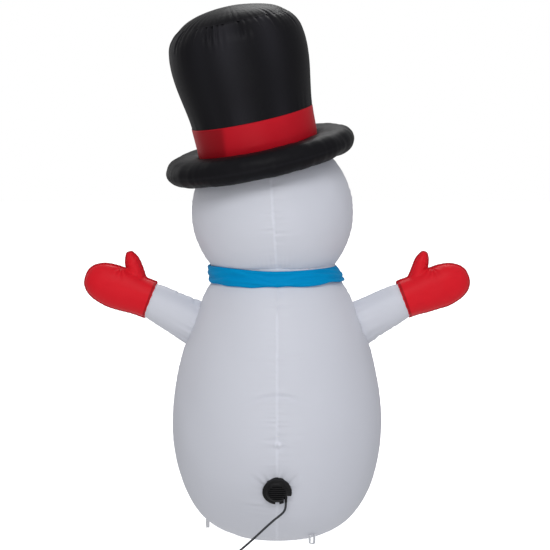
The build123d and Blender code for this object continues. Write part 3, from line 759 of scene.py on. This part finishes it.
def relieveCrown(piece, turn, radius, z):
    drop = hat["crown"][-1][1] - z
    amount = 0.0006 * gathers(turn * hat["girth"], drop, 0.017, 0.026, 301)
    amount -= 0.0007 * np.exp(-((drop / 0.004) ** 2))
    for angle, depth, width, reach in hat["puckers"]:
        side = turnBetween(turn, radians(angle)) * radius
        sway = 0.05 * np.sin(radians(angle * 7)) * drop
        amount += depth * fold(side - sway, drop - 0.012, width, reach * 0.62)
    low = z - hat["crown"][0][1]
    amount += 0.0006 * gathers(turn * 0.139, low, 0.022, 0.020, 305)
    broad = drift(np.stack([np.cos(turn), np.sin(turn), z * 1.2], axis=1), 0.75, 31)
    amount += 0.0022 * broad * np.clip(drop / 0.03, 0, 1)
    amount *= np.clip(low / 0.004 + 0.2, 0, 1)
    seam = np.minimum(np.abs(drop), np.abs(turnBetween(turn, -pi / 2)) * radius)
    glow = np.zeros(len(z))
    for angle, reach, strength in hat["painted_light"]:  # painted highlights: broad upright bands painted lighter
        glow += strength * np.exp(-((turnBetween(turn, radians(angle)) / radians(reach)) ** 2))
    paint(piece, "painted_light", np.clip(glow * (0.75 + 0.25 * np.cos(drop * 22)), 0, 1))
    return amount, seam


def relieveDome(piece, turn, radius, z):
    distance = np.clip(hat["dome"][0][0] - radius, 0, 1)
    amount = 0.0006 * gathers(turn * hat["girth"], distance, 0.017, 0.026, 301)
    amount -= 0.0007 * np.exp(-((distance / 0.005) ** 2))
    amount += 0.0012 * drift(pointsOf(piece), 0.16, 33) * np.clip(distance / 0.03, 0, 1)
    amount *= np.clip(radius / 0.03, 0, 1)
    return amount, distance


def relieveBrim(piece, turn, radius, z):
    rimRadius, rimHeight = hat["brimUpper"][0]
    rim = np.hypot(rimRadius - radius, z - rimHeight)
    upper = z.max() > rimHeight + 0.01
    hub = np.clip(radius - hat["upperHub" if upper else "lowerHub"], 0, 1)
    amount = 0.0006 * gathers(turn * 0.22, rim, 0.020, 0.022, 311)
    amount += 0.0006 * gathers(turn * 0.14, hub, 0.022, 0.018, 315)
    amount -= 0.0012 * np.exp(-((rim / 0.003) ** 2))
    inner = np.clip(rim / 0.02, 0, 1) * np.clip(hub / 0.02, 0, 1)
    amount += 0.0016 * drift(pointsOf(piece), 0.11, 35) * inner
    streak = np.cos(turn * 23 + 2 * np.cos(turn * 3)) * np.cos(turn * 9 + 1)
    amount += 0.0008 * streak * np.exp(-(((rim - 0.026) / 0.018) ** 2))
    return amount, rim


def relieveBand(piece, turn, radius, z):
    edge = np.minimum(z - hat["band"][0][1], hat["band"][-1][1] - z)
    amount = 0.0009 + 0.0006 * np.clip(edge / 0.004, 0, 1)
    amount = amount + 0.0005 * drift(pointsOf(piece), 0.09, 37)
    # painted shade: between these angles, leaning with height, the band is painted darker
    first, last = (radians(angle) for angle in hat["paintedShadeSpan"])
    lean = (z - 0.185) * 0.9
    paintedShade = 1 / (1 + np.exp(-(last + lean - turn) / 0.02)) / (1 + np.exp(-(turn - first) / 0.1))
    paint(piece, "painted_light", paintedShade)
    return amount, np.abs(edge) + 0.001


# ---- arms: a sleeve from the body to the cuff, and a mitten of two sewn halves with a thumb
arm = {
    "sleeve": [
        (0.0536, -0.0160), (0.0521, 0.0000), (0.0503, 0.0200), (0.0485, 0.0400), (0.0468, 0.0600),
        (0.0450, 0.0800), (0.0430, 0.0990), (0.0406, 0.1070), (0.0384, 0.1140), (0.0355, 0.1230),
    ],
    "columns": 200,
    "perSpan": 12,
    "lift": 28.4,
    "handLift": 20,
    "hole": 0.0545,
    "cuff": 0.1136,
    # along the hand, half width, half thickness
    "palm": [
        (-0.004, 0.0434, 0.0424), (0.018, 0.0436, 0.0396), (0.060, 0.0470, 0.0370),
        (0.105, 0.0460, 0.0350), (0.138, 0.0340, 0.0250), (0.152, 0.0180, 0.0120), (0.155, 0.0060, 0.0040),
    ],
    "thumbFrom": (0.321, 0.5825),
    "thumbTo": (0.341, 0.651),
    "crotch": (0.3575, 0.6175),  # where thumb and fingers part
    # share of the way to the tip, half width, half thickness
    "thumb": [(0.00, 0.020, 0.018), (0.45, 0.017, 0.016), (0.80, 0.0128, 0.012), (1.00, 0.0050, 0.0050)],
    "grain": 0.0017,
    "piping": 0.0028,
}


def armFrame(side):  # origin on the shoulder, Z out along the arm, Y to the back
    pivot = Vector(joints["arm_left_sway" if side > 0 else "arm_right_sway"]["pos_m"])
    lift = radians(arm["lift"])
    out = Vector((side * cos(lift), 0, sin(lift)))
    back = Vector((0, 1, 0))
    turn = Matrix((back.cross(out), back, out)).transposed().to_4x4()
    return Matrix.Translation(pivot) @ turn


def stackRings(bm, places):  # circles squashed and turned into place, then bridged and closed
    loops = []
    for place in places:
        made = bmesh.ops.create_circle(bm, radius=1, segments=48, matrix=place)
        loops.append(list({edge for vert in made["verts"] for edge in vert.link_edges}))
    for low, high in zip(loops, loops[1:]):
        bmesh.ops.bridge_loops(bm, edges=low + high)
    for loop in (loops[0], loops[-1]):
        bmesh.ops.edgeloop_fill(bm, edges=loop)
    bmesh.ops.recalc_face_normals(bm, faces=bm.faces[:])


def applyModifiers(piece):
    graph = bpy.context.evaluated_depsgraph_get()
    mesh = bpy.data.meshes.new_from_object(piece.evaluated_get(graph))
    piece.modifiers.clear()
    old = piece.data
    piece.data = mesh
    bpy.data.meshes.remove(old)


def makeSleeve(side):
    name = "sleeveLeft" if side > 0 else "sleeveRight"
    piece = turned(name, smoothLine(arm["sleeve"], arm["perSpan"]), arm["columns"])
    turn, radius, z = around(piece)
    amount = 0.0007 * gathers(turn * 0.05, np.clip(z - 0.006, 0, 1), 0.016, 0.020, 501 + side)
    cuffGap = arm["cuff"] - z
    amount += 0.0003 * gathers(turn * 0.042, np.clip(cuffGap, 0, 1), 0.012, 0.014, 511 + side)
    places = pointsOf(piece)
    amount += 0.0010 * drift(places, 0.09, 520 + side)
    nearest = np.full(len(z), 1.0)
    for seam in (0, pi):
        reach = turnBetween(turn, seam) * radius
        amount += seamRelief(reach, z, 530 + side, pucker=0.0005, valley=0.0007, wave=0.011, reach=0.010)
        nearest = np.minimum(nearest, np.abs(reach))
    under = turnBetween(turn, pi) * radius
    amount += 0.0012 * fold(z - 0.080 - 0.02 * np.cos(turn), under, 0.004, 0.018)
    amount += 0.0013 * fold(z - 0.022 + 0.012 * np.sin(turn), under, 0.006, 0.034)
    amount *= np.clip((0.108 - z) / 0.012, 0, 1)  # tucked smoothly into the mitten
    swell(piece, amount)
    paintSeam(piece, np.minimum(nearest, np.abs(cuffGap) + 0.0006))
    mapCloth(piece, 0.045)
    place = armFrame(side)
    piece.data.transform(place)
    key = "left" if side > 0 else "right"
    finishPiece(piece, "white_polyester", None, "shoulder_sleeve_" + key, "arm_sleeve_" + key)
    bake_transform(piece)


def makeMitten(side, bodyName):
    lift = radians(arm["handLift"])
    out = Vector((side * cos(lift), 0, sin(lift)))
    wide = Vector((0, 1, 0)).cross(out)
    cuff = armFrame(side) @ Vector((0, 0, arm["cuff"]))
    bm = bmesh.new()
    widths = smoothLine([(width, along) for along, width, _ in arm["palm"]], 6)
    depths = smoothLine([(depth, along) for along, _, depth in arm["palm"]], 6)
    places = []
    for width, depth in zip(widths, depths):
        turn = Matrix((wide * max(width.x, 0.002), Vector((0, 1, 0)) * max(depth.x, 0.002), out))
        places.append(Matrix.Translation(cuff + out * width.z) @ turn.transposed().to_4x4())
    stackRings(bm, places)
    palm = newPiece("palm", bm)
    start = Vector((side * arm["thumbFrom"][0], 0, arm["thumbFrom"][1]))
    tip = Vector((side * arm["thumbTo"][0], 0, arm["thumbTo"][1]))
    along = (tip - start).normalized()
    cross = Vector((0, 1, 0)).cross(along)
    bm = bmesh.new()
    places = []
    widths = smoothLine([(width, share) for share, width, _ in arm["thumb"]], 6)
    depths = smoothLine([(depth, share) for share, _, depth in arm["thumb"]], 6)
    for width, depth in zip(widths, depths):
        turn = Matrix((cross * width.x, Vector((0, 1, 0)) * depth.x, along)).transposed().to_4x4()
        places.append(Matrix.Translation(start.lerp(tip, width.z)) @ turn)
    stackRings(bm, places)
    thumb = newPiece("thumb", bm)
    bm = bmesh.new()
    bm.from_mesh(palm.data)
    bm.from_mesh(thumb.data)
    for spare in (palm, thumb):
        bpy.data.objects.remove(spare)
    piece = newPiece("mittenLeft" if side > 0 else "mittenRight", bm)
    joined = piece.modifiers.new("joined", "REMESH")
    joined.mode = "VOXEL"
    joined.voxel_size = arm["grain"]
    joined.use_smooth_shade = True
    applyModifiers(piece)
    bm = bmesh.new()
    bm.from_mesh(piece.data)
    for _ in range(5):
        axes = {"use_axis_x": True, "use_axis_y": True, "use_axis_z": True}
        bmesh.ops.smooth_vert(bm, verts=bm.verts[:], factor=0.5, **axes)
    bm.to_mesh(piece.data)
    bm.free()
    places = pointsOf(piece)
    seamSide = np.abs(places[:, 1])
    fromCuff = (places - np.array(cuff)) @ np.array(out)
    position = places[:, 0] * 1.3 + places[:, 2] * 0.7
    amount = 0.0006 * gathers(position, seamSide, 0.015, 0.010, 601) * np.clip(seamSide / 0.002, 0, 1)
    amount -= 0.0010 * np.exp(-(((seamSide - 0.0055) / 0.0024) ** 2))
    amount += arm["piping"] * np.exp(-((seamSide / 0.0026) ** 4))
    amount += 0.0011 * drift(places, 0.07, 610 + side)
    aside, above = places[:, 0] - side * arm["crotch"][0], places[:, 2] - arm["crotch"][1]
    pinch = np.hypot(aside, above)
    rays = np.cos(np.arctan2(above, aside) * 9)
    amount += (0.0012 * rays - 0.0012) * np.exp(-((pinch / 0.020) ** 2)) * np.clip(seamSide / 0.004, 0, 1)
    cuffPull = np.exp(-np.clip(fromCuff, 0, 1) / 0.012)
    spoke = np.arctan2(places[:, 1], (places - np.array(cuff)) @ np.array(wide))
    amount += 0.0004 * cuffPull * np.cos(spoke * 13)
    swell(piece, amount)
    paintSeam(piece, np.minimum(seamSide, np.abs(fromCuff) + 0.0008))
    mapFlat(piece)
    key = "left" if side > 0 else "right"
    finishPiece(piece, "red_polyester", bodyName, f"mitten_{key}_front", f"mitten_{key}_back")


# ---- scarf: band round the neck, knot and two tails in front
scarf = {
    "profile": [
        (0.1480, 0.5842), (0.1548, 0.5862), (0.1560, 0.5930), (0.1552, 0.6000),
        (0.1532, 0.6070), (0.1512, 0.6140), (0.1500, 0.6195), (0.1450, 0.6212),
    ],
    "columns": 320,
    "shift": 0.0099,
    "flat": (0.046, 0.96),
    "knotMiddle": (0.004, -0.166, 0.603),
    "knotSize": (0.031, 0.0125, 0.0165),
    "tailFlat": (0.044, 0.205),
    "tailTop": (0.162, 0.583),
    "tailLength": 0.198,
    "tailSpread": 12,
    "clearance": 0.0065,
    "cloth": 0.0016,
}


def makeScarf():
    band = turned("scarfBand", smoothLine(scarf["profile"], 7), scarf["columns"])
    turn, radius, z = around(band)
    share = (z - 0.586) / 0.034
    amount = 0.0012 * np.sin(tau * (share * 1.5 + 0.35 * np.sin(turn * 2 + 2.2) + 0.1))
    amount += 0.0010 * np.sin(tau * (share * 2.6 - 0.5 * np.sin(turn * 1.0 + 0.4) + 0.3 * np.sin(turn * 5)))
    amount += 0.0011 * drift(pointsOf(band) * np.array((1, 1, 3)), 0.08, 71)
    amount -= 0.0016 * np.exp(-(((turnBetween(turn, 1.36) * 0.15 + (share - 0.5) * 0.10) / 0.012) ** 2))
    amount *= np.clip((radius - 0.146) / 0.004, 0, 1)
    swell(band, amount)
    places = pointsOf(band)
    leftRise = np.exp(-((turnBetween(turn, radians(38)) / 0.55) ** 2))
    rightRise = np.exp(-((turnBetween(turn, radians(146)) / 0.5) ** 2))
    middle = np.exp(-((turnBetween(turn, radians(92)) / 0.35) ** 2))
    upper, lower = np.clip(share, 0, 1), np.clip(1 - share, 0, 1)
    places[:, 2] += upper * (0.0040 * leftRise - 0.0012 * middle + 0.0010 * rightRise)
    places[:, 2] += lower * (0.0060 * rightRise - 0.0016 * leftRise - 0.0010 * middle)
    places[:, 0] += scarf["shift"] * upper
    setPoints(band, places)
    paintSeam(band, np.full(len(z), 1.0))
    mapCloth(band, 0.15)
    finishPiece(band, "blue_satin", None, "scarf_band")
    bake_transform(band)

    bm = bmesh.new()
    bmesh.ops.create_uvsphere(bm, u_segments=96, v_segments=56, radius=1)
    knot = newPiece("scarfKnot", bm)
    x, y, z = pointsOf(knot).T
    x, y, z = (np.sign(way) * np.abs(way) ** 0.72 for way in (x, y, z))
    waist = 1 - 0.20 * np.exp(-(((np.abs(x) - 0.52) / 0.16) ** 2)) + 0.10 * np.exp(-((x / 0.3) ** 2))
    pleat = 1 + 0.05 * np.cos(z * 7 + 2.2 * x) * np.clip(np.abs(x) - 0.35, 0, 1) * 1.6
    cross = 1 + 0.035 * np.cos(x * 16 + 1.4 * z) * np.exp(-((x / 0.4) ** 2))
    size = np.array(scarf["knotSize"])
    stretched = np.stack([x, y * waist * pleat * cross, z * waist], axis=1) * size
    setPoints(knot, stretched + np.array(scarf["knotMiddle"]))
    mapFlat(knot)
    finishPiece(knot, "blue_satin", "root", "scarf_knot")

    for name, azimuth in (("left", -90 + scarf["tailSpread"]), ("right", -90 - scarf["tailSpread"])):
        makeTail(name, radians(azimuth))
    print("scarf tied")


def makeTail(name, azimuth):  # hangs down the front, just clear of the body
    bm = bmesh.new()
    bmesh.ops.create_grid(bm, x_segments=26, y_segments=110, size=0.5)
    tail = newPiece("scarfTail" + name.capitalize(), bm)
    mapFlat(tail, (0, 1), scarf["tailFlat"])
    across, down, _ = pointsOf(tail).T
    share = 0.5 - down
    height = scarf["tailTop"][1] - scarf["tailLength"] * share
    outline = np.array(body["outline"])
    reach = np.interp(height, outline[:, 1], outline[:, 0]) + scarf["clearance"]
    reach = np.maximum(reach, scarf["tailTop"][0] - 0.1 * share)
    sway = 0.0012 * np.cos(across * 9 + share * 4) * np.clip(share * 3, 0, 1)
    sway += 0.0010 * np.sin(share * 17 + across * 3) + 0.0015 * np.exp(-share / 0.06) * np.cos(across * 20)
    broad = scarf["tailFlat"][0]
    width = broad * (0.86 + 0.14 * np.clip(share * 6, 0, 1))
    side = across * width + 0.0012 * np.sin(share * 9 + azimuth)
    reach = reach + sway
    out, along = (cos(azimuth), sin(azimuth)), (-sin(azimuth), cos(azimuth))
    x, y = (out[axis] * reach + along[axis] * side for axis in (0, 1))
    setPoints(tail, np.stack([x, y, height - 0.0012 * np.cos(across * 5)], axis=1))
    paintSeam(tail, np.minimum((0.5 - np.abs(across)) * broad, (1 - share) * 0.2) + 0.001)
    thick = tail.modifiers.new("cloth", "SOLIDIFY")
    thick.thickness = scarf["cloth"]
    thick.offset = 0
    node = "scarf_tail_" + name
    finishPiece(tail, "blue_satin", node, node)


# ---- face and coat: padded prints and the carrot
face = {
    "eyes": [(-108, 14), (-72, 14)],
    "eyeRadius": 0.013,
    "mouth": [(-90 + 9.5 * step, -24 + 2 * step ** 2) for step in range(-2, 3)],
    "mouthRadius": 0.008,
    "nose": (-90, -3),
    "carrot": [
        (0.0172, -0.0030), (0.0168, 0.0080), (0.0150, 0.0300), (0.0122, 0.0540),
        (0.0090, 0.0780), (0.0058, 0.0980), (0.0030, 0.1042), (0.0000, 0.1050),
    ],
    "buttons": [0.250, 0.330, 0.410],
    "buttonRadius": 0.017,
    "depth": 0.0026,
}


def faceFrame(azimuth, elevation):  # origin on the head's skin, Z straight out
    aim = Matrix.Rotation(radians(azimuth), 4, "Z") @ Matrix.Rotation(radians(90 - elevation), 4, "Y")
    return Matrix.Translation(headMiddle) @ aim @ Matrix.Translation((0, 0, headRadius))


def addPad(bm, place, radius):
    made = bmesh.ops.create_uvsphere(bm, u_segments=48, v_segments=20, radius=1)
    for vert in made["verts"]:
        flatter = (1 - vert.co.z ** 2) ** 0.3  # full to the stitching, then drawn in
        depth = face["depth"] * (0.8 + 0.2 * flatter)
        vert.co = place @ Vector((vert.co.x * radius, vert.co.y * radius, vert.co.z * depth))


def makePads(name, node, bodyName, pads):
    bm = bmesh.new()
    for place, radius in pads:
        addPad(bm, place, radius)
    bmesh.ops.recalc_face_normals(bm, faces=bm.faces[:])
    piece = newPiece(name, bm)
    swell(piece, 0.0003 * drift(pointsOf(piece), 0.012, 81))
    mapFlat(piece)
    finishPiece(piece, "coal_print", bodyName, node)


def makeFace():
    eyes = [(faceFrame(*spot), face["eyeRadius"]) for spot in face["eyes"]]
    mouth = [(faceFrame(*spot), face["mouthRadius"]) for spot in face["mouth"]]
    makePads("eyePads", "eyes", "head", eyes)
    makePads("mouthPads", "mouth_pieces", "head", mouth)
    heights = np.array(body["outline"])
    buttons = []
    for height in face["buttons"]:
        low, here, high = np.interp((height - 0.005, height, height + 0.005), heights[:, 1], heights[:, 0])
        aim = Vector((0, -1, -(high - low) / 0.01)).to_track_quat("Z", "Y").to_matrix().to_4x4()
        buttons.append((Matrix.Translation((0, -here, height)) @ aim, face["buttonRadius"]))
    makePads("buttonPads", "front_buttons", "root", buttons)
    nose = turned("carrotNose", smoothLine(face["carrot"], 10), 96)
    turn, radius, z = around(nose)
    amount = np.zeros(len(z))
    for step, height in enumerate((0.016, 0.031, 0.045, 0.060, 0.074, 0.087)):
        reach = turnBetween(turn, 1.9 * step) * radius
        amount += 0.0011 * fold(z - height - 0.05 * reach, reach, 0.0030, 0.016)
    amount += 0.0004 * gathers(turn * 0.017, np.clip(z, 0, 1), 0.006, 0.010, 83)
    swell(nose, amount)
    paintSeam(nose, np.minimum(np.abs(turnBetween(turn, pi / 2)) * radius, np.abs(z - 0.001)) + 0.001)
    mapCloth(nose, 0.016)
    nose.data.transform(faceFrame(*face["nose"]))
    finishPiece(nose, "orange_polyester", "head", "carrot_nose")
    print("face sewn on")


# ---- the lead: one spline from the strain relief, down to the lawn, round the coil and into its adaptor
lead = {
    "diameter": 0.005,
    "length": 1.8,
    "coilMiddle": Vector((0.120, 0.300, 0)),
    "coilRadius": 0.029,
    "lift": 0.0012,
    "pointsPerTurn": 16,
    "coilStart": -60,  # degrees, and how far past its last full turn the coil runs on
    "coilOver": 150,
    "route": [
        (-0.0193, 0.2300, 0.1190),
        (-0.0192, 0.2306, 0.1085),
        (-0.0157, 0.2313, 0.0988),
        (-0.0085, 0.2324, 0.0915),
        (0.0065, 0.2342, 0.0805),
        (0.0260, 0.2372, 0.0635),
        (0.0480, 0.2410, 0.0435),
        (0.0700, 0.2452, 0.0245),
        (0.0903, 0.2502, 0.0090),
        (0.1100, 0.2564, 0.0025),
        (0.1253, 0.2639, 0.0025),
    ],
}


def coilTurns():  # three turns side by side on each of three layers, spiralling in, out and in again
    wire, middle = lead["diameter"], lead["coilMiddle"]
    base = lead["lift"] + wire / 2
    layout = []
    for layer, order in enumerate(((1, 0, -1), (-1, 0, 1), (1, 0, -1))):
        layout += [(lead["coilRadius"] + step * wire, base + layer * wire * 0.96) for step in order]
    turns = len(layout) - 1 + lead["coilOver"] / 360
    count = round(turns * lead["pointsPerTurn"])
    places = []
    for step in range(count + 1):
        turn = turns * step / count
        now = min(int(turn), len(layout) - 1)
        after = min(now + 1, len(layout) - 1)
        share = max(0, (turn - now - 0.7) / 0.3)  # the last third of a turn crosses to the next
        radius = layout[now][0] * (1 - share) + layout[after][0] * share
        height = layout[now][1] * (1 - share) + layout[after][1] * share
        angle = radians(lead["coilStart"]) + turn * tau
        places.append(middle + Vector((radius * cos(angle), radius * sin(angle), height)))
    return places


def makeLead():
    places = [Vector(place) for place in lead["route"]] + coilTurns()
    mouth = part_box("adaptor_boot")
    level = (mouth[0].z + mouth[1].z) / 2
    side = (mouth[0].y + mouth[1].y) / 2
    places += [Vector((mouth[1].x + reach, side, level)) for reach in (0.010, 0.004, -0.002)]
    curve = bpy.data.curves.new("powerLead", "CURVE")
    curve.dimensions = "3D"
    curve.bevel_depth = lead["diameter"] / 2
    curve.bevel_resolution = 5
    curve.resolution_u = 8
    curve.use_fill_caps = True
    spline = curve.splines.new("NURBS")
    spline.points.add(len(places) - 1)
    for knot, place in zip(spline.points, places):
        knot.co = (*place, 1)
    spline.order_u = 3
    spline.use_endpoint_u = True
    piece = bpy.data.objects.new("powerLead", curve)
    bpy.context.scene.collection.objects.link(piece)
    finishPiece(piece, "cord_jacket", "root", "power_cord", "cord_coil", "cord_tail")
    print("lead laid")


def shadeCadNodes():  # every carried-over node takes its slot's finish
    slots = {part["node"]: part["material_slot"] for part in frame["record"]["subparts"]}
    for name, node in frame["nodes"].items():
        node.data.materials.clear()
        node.data.materials.append(finishes[slots[name]])


makeFinishes()
floor = setStudio()
floor.data.materials.append(finishes["floor"])
makeLead()
makeBody()
makeNeck()
makeHead()
makeHat()
for side, bodyName in ((1, "arm_left"), (-1, "arm_right")):
    makeSleeve(side)
    makeMitten(side, bodyName)
print("arms sewn")
makeScarf()
makeFace()
shadeCadNodes()
